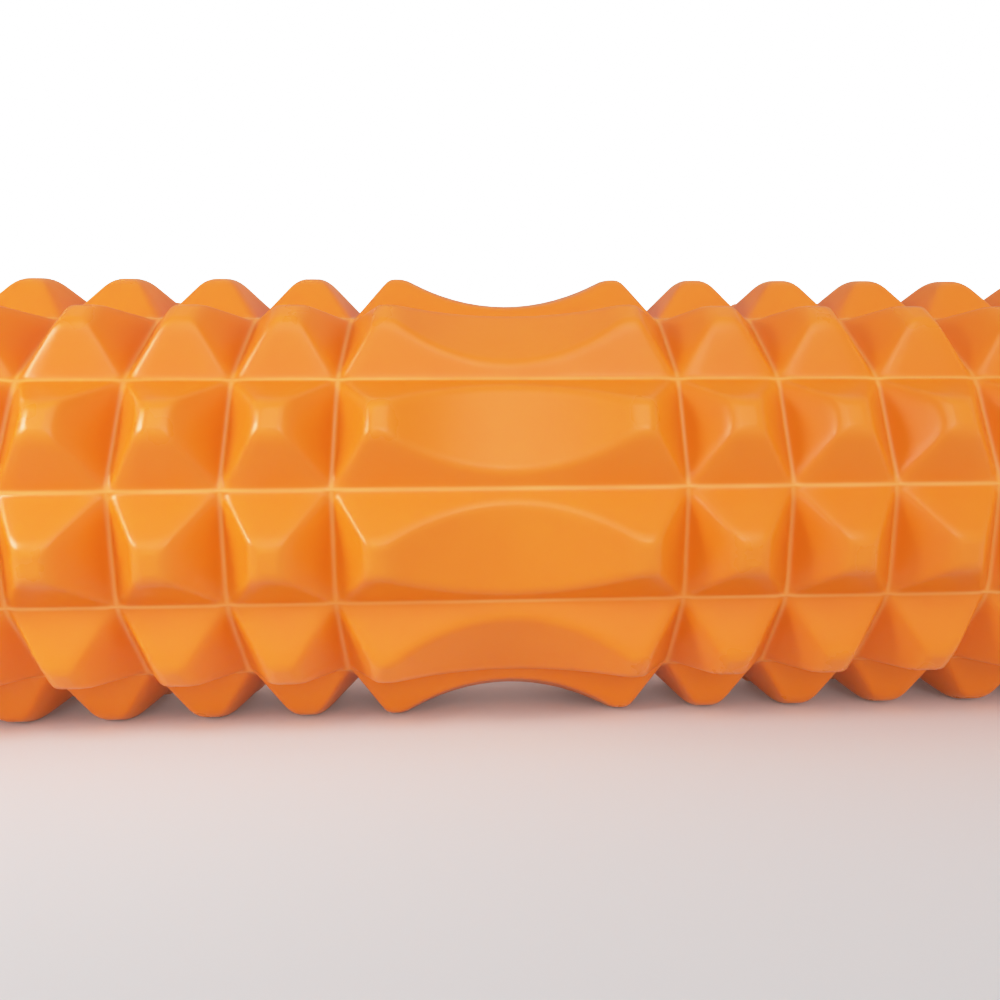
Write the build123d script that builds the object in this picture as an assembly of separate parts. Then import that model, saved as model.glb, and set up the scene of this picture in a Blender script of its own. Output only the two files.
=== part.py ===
from build123d import *
import os
from math import cos, radians, tan

# Foam roller, 140 mm across its pyramid tips and 450 mm long, lying with its axis along X.
# A rigid plastic tube is the core. A soft EVA foam sleeve is moulded flat, wrapped round the core with
# its bends in the grooves between its rows, bonded to it with a film of contact adhesive and closed by
# a glued butt seam along the back.
# The origin is on the roller's axis, half way along it. +Z is up, and -Y is the front.

# Overall length
LENGTH = 450.0

# Core tube
CORE_OUTER_RADIUS = 50.0
CORE_WALL = 4.0
CORE_RECESS = 1.0
CORE_DEBURR = 0.6

# Bond between the core and the sleeve, and the seam where the sleeve's two edges meet
BOND_THICKNESS = 0.3
BOND_RECESS = 2.0
SEAM_WIDTH = 0.5
SEAM_RECESS = 0.4

# Pattern round the roller: flat rows of pyramids, with a V groove between each two rows. The groove
# bottoms of a row lie in one plane, and the tips in another, at these distances from the axis.
ROWS = 12
BASE_DISTANCE = 58.0
TIP_DISTANCE = 70.0
ROW_GROOVE_FLAT = 1.0
TIP_WIDTH = 9.0

# Pattern along the roller: a spine channel in the middle, then rings of pyramids out to each end
RINGS_PER_SIDE = 6
RING_PITCH = 28.4
RING_GROOVE_FLAT = 1.0
TIP_LENGTH = 8.0
CHANNEL_HALF_LENGTH = 46.8
CHANNEL_DISTANCE = 61.2
CHANNEL_RIDGE = 34.3
CHANNEL_RIDGE_FLAT = 5.0

# Plain rim at each end
RIM_ROUNDING = 2.5

# Values that follow from those
BORE_RADIUS = CORE_OUTER_RADIUS - CORE_WALL
SLEEVE_BORE_RADIUS = CORE_OUTER_RADIUS + BOND_THICKNESS
ROW_ANGLE = 360.0 / ROWS
ROW_HALF_WIDTH = BASE_DISTANCE * tan(radians(ROW_ANGLE / 2))
ROW_GROOVE_RADIUS = BASE_DISTANCE / cos(radians(ROW_ANGLE / 2))


def core_tube():
    """Extruded tube with both edges of each end deburred."""
    tube = Cylinder(CORE_OUTER_RADIUS, LENGTH - 2 * CORE_RECESS)
    tube -= Cylinder(BORE_RADIUS, LENGTH)
    end_edges = tube.edges().filter_by(GeomType.CIRCLE)
    return Rot(Y=90) * chamfer(end_edges, CORE_DEBURR)


def adhesive_film():
    """Thin cylinder of contact adhesive all round the core, stopping short of both ends."""
    bonded_length = LENGTH - 2 * BOND_RECESS
    film = Cylinder(SLEEVE_BORE_RADIUS, bonded_length) - Cylinder(CORE_OUTER_RADIUS, bonded_length)
    return Rot(Y=90) * film


def side_outline():
    """A row's outer edge on the +X side, from the channel's ridge to the end face and down to the axis."""
    half_flat = RING_GROOVE_FLAT / 2
    points = [
        (CHANNEL_RIDGE - CHANNEL_RIDGE_FLAT / 2, TIP_DISTANCE),
        (CHANNEL_RIDGE + CHANNEL_RIDGE_FLAT / 2, TIP_DISTANCE),
        (CHANNEL_HALF_LENGTH - half_flat, BASE_DISTANCE),
    ]
    for ring in range(RINGS_PER_SIDE):
        start = CHANNEL_HALF_LENGTH + ring * RING_PITCH
        middle = start + RING_PITCH / 2
        points += [
            (start + half_flat, BASE_DISTANCE),
            (middle - TIP_LENGTH / 2, TIP_DISTANCE),
            (middle + TIP_LENGTH / 2, TIP_DISTANCE),
            (start + RING_PITCH - half_flat, BASE_DISTANCE),
        ]
    rim_start = (LENGTH / 2 - RIM_ROUNDING, BASE_DISTANCE)
    rim_end = (LENGTH / 2, BASE_DISTANCE - RIM_ROUNDING)
    return [
        Polyline(*points, rim_start),
        RadiusArc(rim_start, rim_end, RIM_ROUNDING),
        Line(rim_end, (LENGTH / 2, 0)),
    ]


def lengthwise_prism():
    """A row's outline seen from the side, extruded across the row."""
    right = side_outline()
    left = [mirror(edge, Plane.YZ) for edge in right]
    ridge = CHANNEL_RIDGE - CHANNEL_RIDGE_FLAT / 2
    channel = ThreePointArc((-ridge, TIP_DISTANCE), (0, CHANNEL_DISTANCE), (ridge, TIP_DISTANCE))
    axis_line = Line((-LENGTH / 2, 0), (LENGTH / 2, 0))
    outline = make_face([*left, channel, *right, axis_line])
    return extrude(Plane.XZ * outline, ROW_HALF_WIDTH, both=True)


def crosswise_prism():
    """A row's outline seen from the end, as a slice of the roller from its axis to the tips."""
    section = Plane.YZ * Polygon(
        (0, 0),
        (ROW_HALF_WIDTH, BASE_DISTANCE),
        (ROW_HALF_WIDTH - ROW_GROOVE_FLAT / 2, BASE_DISTANCE),
        (TIP_WIDTH / 2, TIP_DISTANCE),
        (-TIP_WIDTH / 2, TIP_DISTANCE),
        (-ROW_HALF_WIDTH + ROW_GROOVE_FLAT / 2, BASE_DISTANCE),
        (-ROW_HALF_WIDTH, BASE_DISTANCE),
        align=None,
    )
    return extrude(section, LENGTH / 2, both=True)


def foam_row():
    """One moulded row of pyramids with a scooped bar in its middle, centred on +Z."""
    bore = Rot(Y=90) * Cylinder(SLEEVE_BORE_RADIUS, LENGTH)
    return (lengthwise_prism() & crosswise_prism()) - bore


def seam_strip(outer_radius, length):
    """A thin strip through the sleeve's wall along the +Y side, out to the given radius."""
    depth = outer_radius - SLEEVE_BORE_RADIUS
    return Pos(Y=SLEEVE_BORE_RADIUS + depth / 2) * Box(length, depth, SEAM_WIDTH)


def foam_sleeve():
    """Moulded foam sleeve: rows of pyramids all round, open along the butt seam."""
    row = foam_row()
    rows = [Rot(X=(index + 0.5) * ROW_ANGLE) * row for index in range(ROWS)]
    opening = Box(LENGTH, TIP_DISTANCE, SEAM_WIDTH, align=(Align.CENTER, Align.MIN, Align.CENTER))
    return rows[0] + rows[1:] - opening


def seam_glue():
    """Cured glue that fills the butt seam, a little below the bottom of its row groove."""
    return seam_strip(ROW_GROOVE_RADIUS - SEAM_RECESS, LENGTH - 2 * BOND_RECESS)


def main():
    pieces = {
        "core_tube": core_tube(),
        "adhesive_film": adhesive_film(),
        "foam_sleeve": foam_sleeve(),
        "seam_glue": seam_glue(),
    }
    os.makedirs("parts", exist_ok=True)
    for name, piece in pieces.items():
        export_step(piece, f"parts/{name}.step")


main()
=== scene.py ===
from math import cos, hypot, radians, sin, tan

import bmesh
import bpy
import numpy as np
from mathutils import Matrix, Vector, noise


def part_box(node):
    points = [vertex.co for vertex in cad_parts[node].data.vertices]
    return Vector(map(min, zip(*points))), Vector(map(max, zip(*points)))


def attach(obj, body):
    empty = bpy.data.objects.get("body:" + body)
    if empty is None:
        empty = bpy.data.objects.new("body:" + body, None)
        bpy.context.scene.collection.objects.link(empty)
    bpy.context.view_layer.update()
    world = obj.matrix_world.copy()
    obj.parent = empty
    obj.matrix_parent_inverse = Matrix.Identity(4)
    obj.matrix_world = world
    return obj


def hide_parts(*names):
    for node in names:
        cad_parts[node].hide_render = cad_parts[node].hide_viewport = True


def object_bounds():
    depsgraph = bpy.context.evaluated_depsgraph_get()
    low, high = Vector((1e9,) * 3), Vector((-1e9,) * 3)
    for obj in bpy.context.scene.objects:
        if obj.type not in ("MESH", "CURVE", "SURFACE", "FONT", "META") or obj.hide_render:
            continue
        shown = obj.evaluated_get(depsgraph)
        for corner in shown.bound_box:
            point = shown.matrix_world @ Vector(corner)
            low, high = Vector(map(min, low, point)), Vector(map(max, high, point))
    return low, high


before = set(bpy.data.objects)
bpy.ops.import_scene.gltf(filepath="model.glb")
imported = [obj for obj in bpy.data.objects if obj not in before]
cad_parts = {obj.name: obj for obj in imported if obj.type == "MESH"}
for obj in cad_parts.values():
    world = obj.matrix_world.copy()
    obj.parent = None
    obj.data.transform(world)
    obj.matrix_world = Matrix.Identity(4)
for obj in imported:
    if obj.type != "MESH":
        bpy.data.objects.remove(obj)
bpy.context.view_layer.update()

# A foam roller: a moulded EVA foam sleeve, wrapped and glued round a rigid plastic core tube.
# The roller's axis is X, the front is -Y and Z is up. The sleeve is moulded flat, so each of its rows is
# worked out as a flat strip, in millimetres: x runs along the roller, u across the row, and a height is
# measured out from the roller's axis. The strips are then turned into place round the axis.

MM = 0.001

# ------------------------------------------------------------------ driving dimensions, in millimetres

HALF_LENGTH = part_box("foam_sleeve")[1].x / MM
BORE_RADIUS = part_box("adhesive_film")[1].z / MM

BASE_HEIGHT = 58.0
TIP_HEIGHT = 70.0

ROWS = 12
ROW_ANGLE = 360.0 / ROWS
ROW_HALF_WIDTH = BASE_HEIGHT * tan(radians(ROW_ANGLE / 2))
ROW_GROOVE_RADIUS = BASE_HEIGHT / cos(radians(ROW_ANGLE / 2))
TIP_WIDTH = 9.0
SIDE_RUN = ROW_HALF_WIDTH - TIP_WIDTH / 2

RINGS_PER_SIDE = 6
RING_PITCH = 28.4
TIP_LENGTH = 8.0
END_RUN = (RING_PITCH - TIP_LENGTH) / 2

CHANNEL_HALF_LENGTH = 46.8
CHANNEL_HEIGHT = 61.2
RIDGE_INNER = 31.8
RIDGE_OUTER = 36.8
RIDGE_RUN = CHANNEL_HALF_LENGTH - RIDGE_OUTER

LAST_RING_GROOVE = CHANNEL_HALF_LENGTH + RINGS_PER_SIDE * RING_PITCH
RIM_ROUNDING = 2.5
SEAM_GAP = 0.5

# How near a point has to be to the end faces to count as one of theirs, and to the bore
ON_END = 0.01
ON_BORE = 0.05

# How softly the bottoms of the grooves are rounded, and how far up its curve a row groove's rounding starts,
# so that two rows, which are turned away from each other, meet in one smooth arc
GROOVE_ROUNDING = 0.7
ROW_GROOVE_LEAN = 0.25 * GROOVE_ROUNDING

# How softly the mould's other edges are rounded: tip edges, the edges of the scooped bars, the channel's
# ridges, the hips between two faces, the corners where four pyramids meet, which reach a little way up the
# hips, and the step where a corner would sink below the grooves
TIP_ROUNDING = 2.8
BAR_ROUNDING = 1.8
RIDGE_ROUNDING = 1.2
HIP_ROUNDING = 2.7
CROSSING_ROUNDING = 2.6
CROSSING_HEIGHT = 1.6
FLOOR_ROUNDING = 0.7

# Unevenness of the moulded foam: how deep it is, and how long its waves are
WAVE_DEPTH = 0.12
WAVE_LENGTH = 34.0

# ------------------------------------------------------------------ light, as a share of display white

# The room as the camera sees it, the room as it lights the object, and where bright colours level off
ROOM_WHITE = 2.3
ROOM_FILL = 0.38
SHOULDER_START = 0.5

# ------------------------------------------------------------------ camera and studio, in metres and degrees

LENS_LENGTH_MM = 27.963
LENS_SHIFT = (-0.0188, -0.0651)
CAMERA_PLACE = (-0.00853, -0.26357, -0.00298)
CAMERA_TURN = (94.739, 0.612, -2.889)

FLOOR_HALF_SIZE = 3.2
FLOOR_GLOW = 0.06

WIDE_BOX = (3.5, 2.5)
SIDE_BOX = (2.5, 2.5)
TOP_BOX = (4.0, 4.0)
STRIP = (0.22, 0.16)
SPOT = (0.1, 0.1)


# ------------------------------------------------------------------ a row's surface as a height field


def soft_abs(distance, rounding):
    """A V with a rounded bottom, which is 0 where distance is 0."""
    return np.sqrt(distance**2 + rounding**2) - rounding


def soft_min(a, b, width):
    """The lower of a and b, with the corner where they meet rounded off."""
    share = np.clip(0.5 + 0.5 * (b - a) / width, 0.0, 1.0)
    return b * (1 - share) + a * share - width * share * (1 - share)


def face_height(from_groove, run, lean=0.0):
    """Height of a face that climbs from a groove's rounded bottom to the tips over the given run."""
    bottom = soft_abs(lean, GROOVE_ROUNDING)
    climb = soft_abs(from_groove + lean, GROOVE_ROUNDING) - bottom
    whole_climb = soft_abs(run + lean, GROOVE_ROUNDING) - bottom
    return BASE_HEIGHT + (TIP_HEIGHT - BASE_HEIGHT) * climb / whole_climb


def end_height(x):
    """Height of the faces that look along the roller, on both sides of each ring groove."""
    beyond = np.abs(x) - CHANNEL_HALF_LENGTH
    from_groove = np.mod(beyond, RING_PITCH)
    from_groove = np.minimum(from_groove, RING_PITCH - from_groove)
    pyramid = face_height(from_groove, END_RUN)
    bar = face_height(beyond, RIDGE_RUN)
    height = np.where(beyond < 0.0, bar, pyramid)
    return np.where(np.abs(x) < LAST_RING_GROOVE, height, BASE_HEIGHT)


def side_height(u):
    """Height of the faces that look across the row, on both sides of each row groove."""
    return face_height(ROW_HALF_WIDTH - np.abs(u), SIDE_RUN, ROW_GROOVE_LEAN)


def top_height(x):
    """Height of the tips, the ridges and the scooped tops of the bars."""
    depth = TIP_HEIGHT - CHANNEL_HEIGHT
    scoop_radius = (RIDGE_INNER**2 + depth**2) / (2 * depth)
    reach = np.minimum(np.abs(x), CHANNEL_HALF_LENGTH)
    scoop = CHANNEL_HEIGHT + scoop_radius - np.sqrt(scoop_radius**2 - reach**2)
    scooped = soft_min(scoop, TIP_HEIGHT, RIDGE_ROUNDING)
    return np.where(np.abs(x) < CHANNEL_HALF_LENGTH, scooped, TIP_HEIGHT)


def row_height(x, u):
    """Height of a row's surface above the roller's axis."""
    end = end_height(x)
    side = side_height(u)
    above_crossing = np.maximum(end, side) - BASE_HEIGHT
    hip = HIP_ROUNDING + CROSSING_ROUNDING * np.exp(-above_crossing / CROSSING_HEIGHT)
    edge = np.where(np.abs(x) < CHANNEL_HALF_LENGTH, BAR_ROUNDING, TIP_ROUNDING)
    height = soft_min(soft_min(end, side, hip), top_height(x), edge)
    height = -soft_min(-height, -BASE_HEIGHT, FLOOR_ROUNDING)
    into_rounding = np.maximum(np.abs(x) - (HALF_LENGTH - RIM_ROUNDING), 0.0)
    return height - RIM_ROUNDING + np.sqrt(np.maximum(RIM_ROUNDING**2 - into_rounding**2, 0.0))


# ------------------------------------------------------------------ where the mesh's lines lie

# Loops of a cell, from its boundary in the grooves to the inside of its tip: how far each lies from the
# ring groove, and, in the same proportion, from the row groove, so that their corners follow the hips
LOOP_RUNS = [0.0, 0.3, 0.65, 1.1, 1.8, 3.0, 4.6, 6.4, 7.8, 8.8, 9.8, 10.8, 12.0]

# Places along one side of a loop, from the middle to the corner, as shares of its half length
PYRAMID_SIDE = [0.0, 0.5, 0.82, 0.94, 1.0]
BAR_SIDE = [0.0, 0.12, 0.24, 0.36, 0.48, 0.6, 0.7, 0.78, 0.84, 0.89, 0.94, 0.98, 1.0]

# Lines round the plain rim, from the last ring groove, lines round its rounded edge, and lines through the
# sleeve's wall as shares of the way to the bore
RIM_RUNS = [0.6, 1.4, 3.0]
ROUNDING_STEPS = 5
WALL_SHARES = [0.0, 0.35, 0.7, 1.0]


def both_sides(shares):
    """The same places on both sides of the middle, from -1 to 1."""
    return np.array([-s for s in reversed(shares[1:])] + list(shares))


ACROSS_ROW = both_sides(PYRAMID_SIDE) * ROW_HALF_WIDTH


def bar_side_run(x):
    """How far from the row groove a bar's side face meets its scooped top."""
    from_groove = np.linspace(0.0, SIDE_RUN, num=200)
    return np.interp(top_height(x), face_height(from_groove, SIDE_RUN, ROW_GROOVE_LEAN), from_groove)


def loop_half_size(run, is_bar):
    """A loop's half length, and its half width at each place along its long sides."""
    beyond_edge = max(run - END_RUN, 0.0)
    share = min(run / END_RUN, 1.0)
    if is_bar:
        side_run = bar_side_run(both_sides(BAR_SIDE) * RIDGE_OUTER)
        half_length = CHANNEL_HALF_LENGTH - share * RIDGE_RUN - beyond_edge
    else:
        side_run = np.full(len(both_sides(PYRAMID_SIDE)), SIDE_RUN)
        half_length = RING_PITCH / 2 - run
    return half_length, ROW_HALF_WIDTH - side_run * share - beyond_edge


def loop_points(run, is_bar):
    """One loop's points as (x, u) from the cell's middle, from its low corner and round."""
    half_length, half_widths = loop_half_size(run, is_bar)
    along = both_sides(BAR_SIDE if is_bar else PYRAMID_SIDE) * half_length
    across = both_sides(PYRAMID_SIDE) * half_widths[0]
    low = list(zip(along, -half_widths))
    right = [(half_length, u) for u in across[1:]]
    high = list(zip(along[::-1], half_widths[::-1]))[1:]
    left = [(-half_length, u) for u in across[::-1][1:-1]]
    return np.array(low + right + high + left)


def rim_stations():
    """x of each line round the right-hand rim, from the last ring groove to the end face."""
    flat_end = HALF_LENGTH - RIM_ROUNDING
    turns = np.radians(np.linspace(0.0, 90.0, ROUNDING_STEPS + 1))
    rounded = flat_end + RIM_ROUNDING * np.sin(turns)
    return [LAST_RING_GROOVE] + [LAST_RING_GROOVE + run for run in RIM_RUNS] + list(rounded)


def all_stations():
    """x of every line across a row's edge, from the left end face to the right one."""
    right = []
    for ring in range(RINGS_PER_SIDE):
        middle = CHANNEL_HALF_LENGTH + (ring + 0.5) * RING_PITCH
        right += list(middle + both_sides(PYRAMID_SIDE) * RING_PITCH / 2)[1:]
    right += rim_stations()[1:]
    bar = list(both_sides(BAR_SIDE) * CHANNEL_HALF_LENGTH)
    return np.array([-x for x in reversed(right)] + bar + right)


class Sheet:
    """Collects points in millimetres, and the faces between them."""

    def __init__(self):
        self.points = []
        self.faces = []

    def add(self, points):
        first = len(self.points)
        self.points.extend(points)
        return list(range(first, len(self.points)))

    def band(self, outer, inner, closed=False):
        """Quads between two lines with as many points each."""
        count = len(outer)
        for i in range(count if closed else count - 1):
            j = (i + 1) % count
            self.faces.append((outer[i], outer[j], inner[j], inner[i]))

    def grid(self, lines):
        for outer, inner in zip(lines, lines[1:]):
            self.band(outer, inner)


def unevenness(place):
    """How far the moulded surface strays from its true shape at a place."""
    return WAVE_DEPTH * noise.noise(Vector(place) / WAVE_LENGTH)


def seam_shift(row, u):
    """How far the rows beside the seam are pushed up or down to leave room for its glue."""
    share = 0.5 + 0.5 * u / ROW_HALF_WIDTH
    if row == 0:
        return SEAM_GAP / 2 * (1 - share)
    if row == ROWS - 1:
        return -SEAM_GAP / 2 * share
    return 0.0


def in_place(row, x, u):
    """Points of a row's surface, turned into place round the axis, with its edges on its neighbours'."""
    height = row_height(x, u)
    across = u * row_height(x, ROW_HALF_WIDTH) / BASE_HEIGHT
    turn = radians((row + 0.5) * ROW_ANGLE)
    y = height * cos(turn) - across * sin(turn)
    z = height * sin(turn) + across * cos(turn) + seam_shift(row, u)
    points = []
    for place in zip(x, y, z):
        on_end = abs(place[0]) > HALF_LENGTH - ON_END
        out = 1.0 if on_end else 1.0 + unevenness(place) / BASE_HEIGHT
        points.append((place[0], place[1] * out, place[2] * out))
    return points


def towards_bore(point, share):
    """A point through the sleeve's wall, from its outside at share 0 to its bore at share 1."""
    x, y, z = point
    scale = 1.0 + share * (BORE_RADIUS / hypot(y, z) - 1.0)
    return (x, y * scale, z * scale)


def add_cell(sheet, row, middle_x, is_bar):
    """A pyramid or a bar: loops from the grooves up to the tip, and a grid across the tip."""
    lines = []
    for run in LOOP_RUNS:
        x, u = loop_points(run, is_bar).T
        lines.append(sheet.add(in_place(row, middle_x + x, u)))
    for outer, inner in zip(lines, lines[1:]):
        sheet.band(outer, inner, closed=True)
    half_length, half_widths = loop_half_size(LOOP_RUNS[-1], is_bar)
    x = middle_x + both_sides(BAR_SIDE if is_bar else PYRAMID_SIDE) * half_length
    sheet.grid([sheet.add(in_place(row, x, share * half_widths)) for share in both_sides(PYRAMID_SIDE)])


def line_across(row, x):
    """Points across a row's surface at x."""
    return in_place(row, np.full(len(ACROSS_ROW), x), ACROSS_ROW)


def add_rim(sheet, row, side):
    """A row's plain rim, with its rounded edge and the flat cut face at the end of the sleeve."""
    sheet.grid([sheet.add(line_across(row, side * x)) for x in rim_stations()])
    edge = line_across(row, side * HALF_LENGTH)
    sheet.grid([sheet.add([towards_bore(point, share) for point in edge]) for share in WALL_SHARES])


def add_bore(sheet, row):
    """A row's share of the bore, where the sleeve is bonded to the core."""
    lines = [[towards_bore(point, 1.0) for point in line_across(row, x)] for x in all_stations()]
    sheet.grid([sheet.add(line) for line in lines])


def add_seam_face(sheet, row, u):
    """One of the two cut faces that meet at the butt seam."""
    x = all_stations()
    edge = in_place(row, x, np.full(len(x), u))
    sheet.grid([sheet.add([towards_bore(point, share) for point in edge]) for share in WALL_SHARES])


def make_mesh(name, points, faces):
    mesh = bpy.data.meshes.new(name)
    mesh.from_pydata([tuple(p) for p in points], [], faces)
    piece = bpy.data.objects.new(name, mesh)
    bpy.context.scene.collection.objects.link(piece)
    return piece


def weld_and_smooth(piece, weld_distance, sharp_angle):
    """Joins points that lie together, turns every face outwards, and smooths all but sharp edges."""
    work = bmesh.new()
    work.from_mesh(piece.data)
    bmesh.ops.remove_doubles(work, verts=work.verts, dist=weld_distance)
    bmesh.ops.recalc_face_normals(work, faces=work.faces)
    work.to_mesh(piece.data)
    work.free()
    piece.data.shade_smooth()
    piece.data.set_sharp_from_angle(angle=radians(sharp_angle))


def make_sleeve():
    """All the rows round the roller, with their rims and bore, welded into one closed skin."""
    sheet = Sheet()
    for row in range(ROWS):
        add_cell(sheet, row, 0.0, is_bar=True)
        add_bore(sheet, row)
        for side in (-1, 1):
            add_rim(sheet, row, side)
            for ring in range(RINGS_PER_SIDE):
                middle_x = side * (CHANNEL_HALF_LENGTH + (ring + 0.5) * RING_PITCH)
                add_cell(sheet, row, middle_x, is_bar=False)
    add_seam_face(sheet, 0, -ROW_HALF_WIDTH)
    add_seam_face(sheet, ROWS - 1, ROW_HALF_WIDTH)
    sleeve = make_mesh("eva_sleeve", np.array(sheet.points) * MM, sheet.faces)
    weld_and_smooth(sleeve, weld_distance=0.004 * MM, sharp_angle=48.0)
    return sleeve


# ------------------------------------------------------------------ materials


class Nodes:
    """A short way to build a node tree."""

    def __init__(self, name):
        self.material = bpy.data.materials.new(name)
        self.material.use_nodes = True
        self.tree = self.material.node_tree
        self.shader = self.tree.nodes["Principled BSDF"]

    def add(self, kind, inputs=None, **settings):
        node = self.tree.nodes.new("ShaderNode" + kind)
        for key, value in settings.items():
            setattr(node, key, value)
        for key, value in (inputs or {}).items():
            self.put(node.inputs[key], value)
        return node

    def put(self, socket, value):
        if isinstance(value, bpy.types.NodeSocket):
            self.tree.links.new(value, socket)
        else:
            socket.default_value = value

    def noise(self, place, scale, detail=3.0, roughness=0.5):
        inputs = {"Vector": place, "Scale": scale, "Detail": detail, "Roughness": roughness}
        return self.add("TexNoise", inputs).outputs["Fac"]

    def cells(self, place, scale, feature="F1"):
        inputs = {"Vector": place, "Scale": scale}
        return self.add("TexVoronoi", inputs, feature=feature).outputs["Distance"]

    def ramp(self, value, low, high, low_to, high_to):
        inputs = {"Value": value, "From Min": low, "From Max": high, "To Min": low_to, "To Max": high_to}
        return self.add("MapRange", inputs).outputs["Result"]

    def mix(self, share, first, second):
        node = self.add("Mix", data_type="RGBA")
        self.put(node.inputs["Factor"], share)
        self.put(node.inputs["A"], first)
        self.put(node.inputs["B"], second)
        return node.outputs["Result"]

    def math(self, operation, first, second=0.0):
        inputs = {0: first, 1: second}
        return self.add("Math", inputs, operation=operation).outputs["Value"]

    def bump(self, height, distance, strength=1.0, under=None):
        inputs = {"Height": height, "Distance": distance, "Strength": strength}
        if under is not None:
            inputs["Normal"] = under
        return self.add("Bump", inputs).outputs["Normal"]

    def finish(self, **values):
        for key, value in values.items():
            self.put(self.shader.inputs[key.replace("_", " ")], value)
        return self.material


def rgb(red, green, blue):
    """A linear colour from 0 to 255 display values."""
    display = [red / 255, green / 255, blue / 255]
    return tuple(c / 12.92 if c <= 0.04045 else ((c + 0.055) / 1.055) ** 2.4 for c in display) + (1.0,)


def radius_here(nodes, place):
    """Distance from the roller's axis, in metres."""
    flat = nodes.add("VectorMath", {0: place, 1: (0.0, 1.0, 1.0)}, operation="MULTIPLY")
    return nodes.add("VectorMath", {0: flat.outputs[0]}, operation="LENGTH").outputs["Value"]


def groove_distances(nodes, place):
    """Distances from the nearest ring groove's bottom and the nearest row groove's, in metres."""
    parts = nodes.add("SeparateXYZ", {"Vector": place}).outputs
    beyond = nodes.math("SUBTRACT", nodes.math("ABSOLUTE", parts["X"]), CHANNEL_HALF_LENGTH * MM)
    outside = nodes.math("MAXIMUM", beyond, 0.0)
    inside = nodes.math("MULTIPLY", beyond, -1.0)
    to_ring = nodes.math("MAXIMUM", inside, nodes.math("PINGPONG", outside, RING_PITCH / 2 * MM))
    turn = nodes.math("ARCTAN2", parts["Z"], parts["Y"])
    to_row = nodes.math("PINGPONG", turn, radians(ROW_ANGLE / 2))
    return to_ring, nodes.math("MULTIPLY", to_row, ROW_GROOVE_RADIUS * MM)


def crease_highlight_share(nodes, place):
    """How strongly a painted highlight lightens the groove bottoms, where their rounded folds would catch
    the light, most of all along the rows.
    """
    to_ring, to_row = groove_distances(nodes, place)
    ring_groove_highlight = nodes.ramp(to_ring, 0.2 * MM, 0.9 * MM, 0.34, 0.0)
    row_groove_highlight = nodes.ramp(to_row, 0.1 * MM, 0.8 * MM, 0.5, 0.0)
    patchy = nodes.ramp(nodes.noise(place, 30.0, 2.0), 0.35, 0.65, 0.6, 1.0)
    return nodes.math("MULTIPLY", nodes.math("MAXIMUM", ring_groove_highlight, row_groove_highlight), patchy)


def skin_colour(nodes, place, height, mottle):
    """Orange in soft clouds, with deeper mottling, worn pale at the tips, and a painted highlight along the
    groove bottoms.
    """
    cloud = nodes.noise(place, 9.0, 2.0)
    base = nodes.mix(nodes.ramp(cloud, 0.35, 0.65, 0.0, 1.0), rgb(237, 124, 25), rgb(241, 131, 29))
    base = nodes.mix(nodes.ramp(mottle, 0.3, 0.75, 0.0, 0.35), base, rgb(230, 114, 20))
    worn = nodes.ramp(height, (TIP_HEIGHT - 2.0) * MM, (TIP_HEIGHT + 0.2) * MM, 0.0, 0.35)
    base = nodes.mix(worn, base, rgb(244, 140, 42))
    # Painted highlight: pale lines along the groove bottoms, where the rounded folds catch the light.
    return nodes.mix(crease_highlight_share(nodes, place), base, rgb(255, 184, 108))


def skin_relief(nodes, place):
    """A slight swell with fine closed cells and a finer grain on it."""
    swell = nodes.noise(place, 60.0, 3.0)
    cells = nodes.cells(place, 900.0, feature="SMOOTH_F1")
    grain = nodes.noise(place, 1500.0, 2.0, 0.6)
    normal = nodes.bump(swell, 0.35 * MM, 0.25)
    normal = nodes.bump(cells, 0.03 * MM, 0.35, normal)
    return nodes.bump(grain, 0.03 * MM, 0.35, normal)


def moulded_foam():
    """The sleeve's closed skin, as it comes out of the mould."""
    nodes = Nodes("moulded_foam")
    place = nodes.add("TexCoord").outputs["Object"]
    height = radius_here(nodes, place)
    mottle = nodes.noise(place, 46.0, 4.0, 0.6)
    polished = nodes.ramp(height, (TIP_HEIGHT - 4.0) * MM, TIP_HEIGHT * MM, 0.0, -0.05)
    roughness = nodes.math("ADD", nodes.ramp(mottle, 0.3, 0.7, 0.29, 0.38), polished)
    return nodes.finish(
        Base_Color=skin_colour(nodes, place, height, mottle),
        Roughness=roughness,
        Normal=skin_relief(nodes, place),
        IOR=1.48,
        Specular_IOR_Level=0.38,
        Subsurface_Weight=0.12,
        Subsurface_Radius=(1.0, 0.35, 0.1),
        Subsurface_Scale=3.0 * MM,
    )


def cut_foam():
    """The foam's open pores, with painted shade in their hollows, and the marks of the saw."""
    nodes = Nodes("cut_foam")
    place = nodes.add("TexCoord").outputs["Object"]
    pores = nodes.cells(place, 1400.0)
    big_pore_shade = nodes.cells(place, 420.0)
    saw = nodes.add("TexWave", {"Vector": place, "Scale": 260.0, "Distortion": 2.5}, bands_direction="Z")
    # Painted shade: the pores darker in their hollows, and darker spots where bigger pores would lie.
    base = nodes.mix(nodes.ramp(pores, 0.05, 0.6, 0.0, 1.0), rgb(226, 112, 36), rgb(250, 152, 70))
    base = nodes.mix(nodes.ramp(big_pore_shade, 0.0, 0.12, 0.5, 0.0), base, rgb(198, 88, 24))
    normal = nodes.bump(pores, 0.18 * MM, 0.7)
    normal = nodes.bump(saw.outputs["Fac"], 0.06 * MM, 0.35, normal)
    return nodes.finish(Base_Color=base, Roughness=nodes.ramp(pores, 0.0, 0.6, 0.85, 0.62), Normal=normal)


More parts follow.
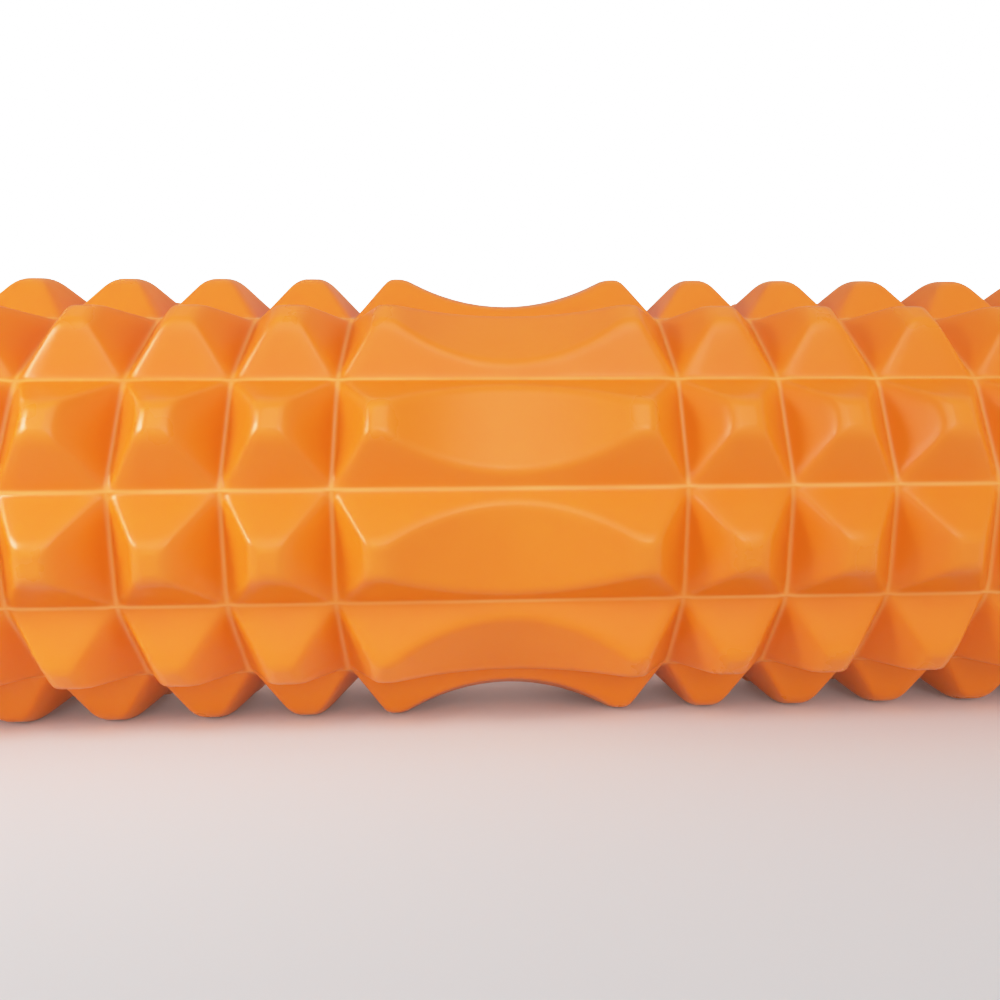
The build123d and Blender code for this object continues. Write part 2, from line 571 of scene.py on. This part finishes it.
def core_plastic():
    """Dark extruded plastic, with fine lines drawn out along the tube and a few pale specks."""
    nodes = Nodes("core_plastic")
    place = nodes.add("TexCoord").outputs["Object"]
    stretch = (6.0, 420.0, 420.0)
    drawn = nodes.add("VectorMath", {0: place, 1: stretch}, operation="MULTIPLY").outputs[0]
    lines = nodes.noise(drawn, 1.0, 5.0, 0.65)
    specks = nodes.noise(place, 700.0, 3.0, 0.7)
    base = nodes.mix(nodes.ramp(lines, 0.3, 0.7, 0.0, 1.0), rgb(34, 34, 36), rgb(52, 52, 55))
    base = nodes.mix(nodes.ramp(specks, 0.66, 0.72, 0.0, 0.4), base, rgb(84, 84, 86))
    normal = nodes.bump(lines, 0.08 * MM, 0.5)
    normal = nodes.bump(specks, 0.03 * MM, 0.3, normal)
    return nodes.finish(Base_Color=base, Roughness=nodes.ramp(lines, 0.3, 0.7, 0.34, 0.52), Normal=normal)


def cured_glue(name, thin, thick):
    """Uneven glue, between its colours where it lies thin and thick."""
    nodes = Nodes(name)
    place = nodes.add("TexCoord").outputs["Object"]
    runs = nodes.noise(place, 180.0, 4.0, 0.6)
    base = nodes.mix(nodes.ramp(runs, 0.35, 0.65, 0.0, 1.0), thin, thick)
    normal = nodes.bump(runs, 0.3 * MM, 0.6)
    return nodes.finish(Base_Color=base, Roughness=nodes.ramp(runs, 0.3, 0.7, 0.25, 0.5), Normal=normal)


def dress(piece, *materials):
    piece.data.materials.clear()
    for material in materials:
        piece.data.materials.append(material)


def dress_sleeve(sleeve):
    """Moulded skin outside, cut foam on the end faces, in the seam and in the bore."""
    dress(sleeve, moulded_foam(), cut_foam())
    for face in sleeve.data.polygons:
        middle = face.center / MM
        radius = hypot(middle.y, middle.z)
        on_end = abs(middle.x) > HALF_LENGTH - ON_END
        in_seam = abs(face.normal.z) > 0.99 and abs(middle.z) < SEAM_GAP and middle.y > BORE_RADIUS
        face.material_index = int(on_end or in_seam or radius < BORE_RADIUS + ON_BORE)


# ------------------------------------------------------------------ camera, floor and light


def add_camera():
    """Close in front of the roller, level with its axis."""
    data = bpy.data.cameras.new("camera")
    data.sensor_width = 36.0
    data.lens = LENS_LENGTH_MM
    data.shift_x, data.shift_y = LENS_SHIFT
    data.clip_start = 0.01
    camera = bpy.data.objects.new("camera", data)
    camera.location = CAMERA_PLACE
    camera.rotation_euler = [radians(turn) for turn in CAMERA_TURN]
    bpy.context.scene.collection.objects.link(camera)
    bpy.context.scene.camera = camera


def add_floor():
    """A white floor, which ends where the softboxes stand."""
    floor_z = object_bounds()[0][2]
    half = FLOOR_HALF_SIZE
    points = [(-half, -half, floor_z), (half, -half, floor_z), (half, half, floor_z), (-half, half, floor_z)]
    floor = make_mesh("studio_floor", points, [(0, 1, 2, 3)])
    white = (0.72, 0.75, 0.77, 1.0)
    glow = {"Emission_Color": white, "Emission_Strength": FLOOR_GLOW}
    dress(floor, Nodes("studio_white").finish(Base_Color=white, Roughness=0.9, **glow))


def add_area_light(name, place, target, size, power, mirrored=True, spread=180.0):
    """A softbox that faces its target, in watts. One that isn't mirrored gives light but no highlights."""
    data = bpy.data.lights.new(name, "AREA")
    data.shape = "RECTANGLE"
    data.size, data.size_y = size
    data.energy = power
    data.spread = radians(spread)
    light = bpy.data.objects.new(name, data)
    light.visible_glossy = mirrored
    light.location = place
    light.rotation_euler = (Vector(target) - Vector(place)).to_track_quat("-Z", "Y").to_euler()
    bpy.context.scene.collection.objects.link(light)


def add_world():
    """A white room, which the camera sees bright while the object gets a dimmer light from it."""
    world = bpy.data.worlds.new("studio")
    world.use_nodes = True
    tree = world.node_tree
    background = tree.nodes["Background"]
    background.inputs["Color"].default_value = (1.0, 1.0, 1.0, 1.0)
    seen = tree.nodes.new("ShaderNodeLightPath").outputs["Is Camera Ray"]
    strength = tree.nodes.new("ShaderNodeMapRange")
    strength.inputs["To Min"].default_value = ROOM_FILL
    strength.inputs["To Max"].default_value = ROOM_WHITE
    tree.links.new(seen, strength.inputs["Value"])
    tree.links.new(strength.outputs["Result"], background.inputs["Strength"])
    bpy.context.scene.world = world


def soften_highlights():
    """A film-like shoulder: bright colours level off towards white instead of clipping."""
    view = bpy.context.scene.view_settings
    view.view_transform = "Standard"
    view.use_curve_mapping = True
    mapping = view.curve_mapping
    mapping.white_level = (ROOM_WHITE, ROOM_WHITE, ROOM_WHITE)
    curve = mapping.curves[3]
    start = SHOULDER_START
    for share in (0.1, 0.2, 0.3, 0.45, 0.6, 0.8):
        light = start + share * (ROOM_WHITE - start)
        shown = start + (1 - start) * (1 - np.exp(-(light - start) / (1 - start)))
        curve.points.new(light / ROOM_WHITE, shown)
    curve.points.new(start / 2 / ROOM_WHITE, start / 2)
    curve.points.new(start / ROOM_WHITE, start)
    mapping.update()


def add_lights():
    """Large softboxes all round, a narrow beam for the glints on the left, and a small spot in front."""
    centre = (0.0, 0.0, 0.0)
    left_tips = (-0.16, -0.06, 0.0)
    add_area_light("softbox_front", (0.0, -3.2, 0.25), centre, WIDE_BOX, 24.0)
    add_area_light("softbox_high", (0.0, -3.0, 1.9), centre, WIDE_BOX, 46.0)
    add_area_light("softbox_right", (3.5, -1.5, 0.9), centre, SIDE_BOX, 57.0, mirrored=False)
    add_area_light("softbox_left", (-3.5, -1.5, 0.9), centre, SIDE_BOX, 20.0, mirrored=False)
    add_area_light("softbox_top", (0.0, 0.25, 3.5), centre, TOP_BOX, 12.0)
    add_area_light("softbox_back", (0.6, 3.3, 1.5), centre, WIDE_BOX, 62.0, mirrored=False)
    add_area_light("strip_left", (-0.5, -0.28, 0.16), left_tips, STRIP, 0.14, spread=38.0)
    add_area_light("spot_front", (0.12, -0.8, 0.2), centre, SPOT, 0.3)
    add_world()
    soften_highlights()


# ------------------------------------------------------------------ the model

sleeve = make_sleeve()
dress_sleeve(sleeve)
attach(sleeve, "root")
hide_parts("foam_sleeve")

dress(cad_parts["core_tube"], core_plastic())
dress(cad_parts["adhesive_film"], cured_glue("film_glue", rgb(196, 150, 84), rgb(222, 186, 120)))
dress(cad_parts["seam_glue"], cured_glue("seam_line_glue", rgb(150, 70, 22), rgb(190, 98, 36)))

add_camera()
add_floor()
add_lights()
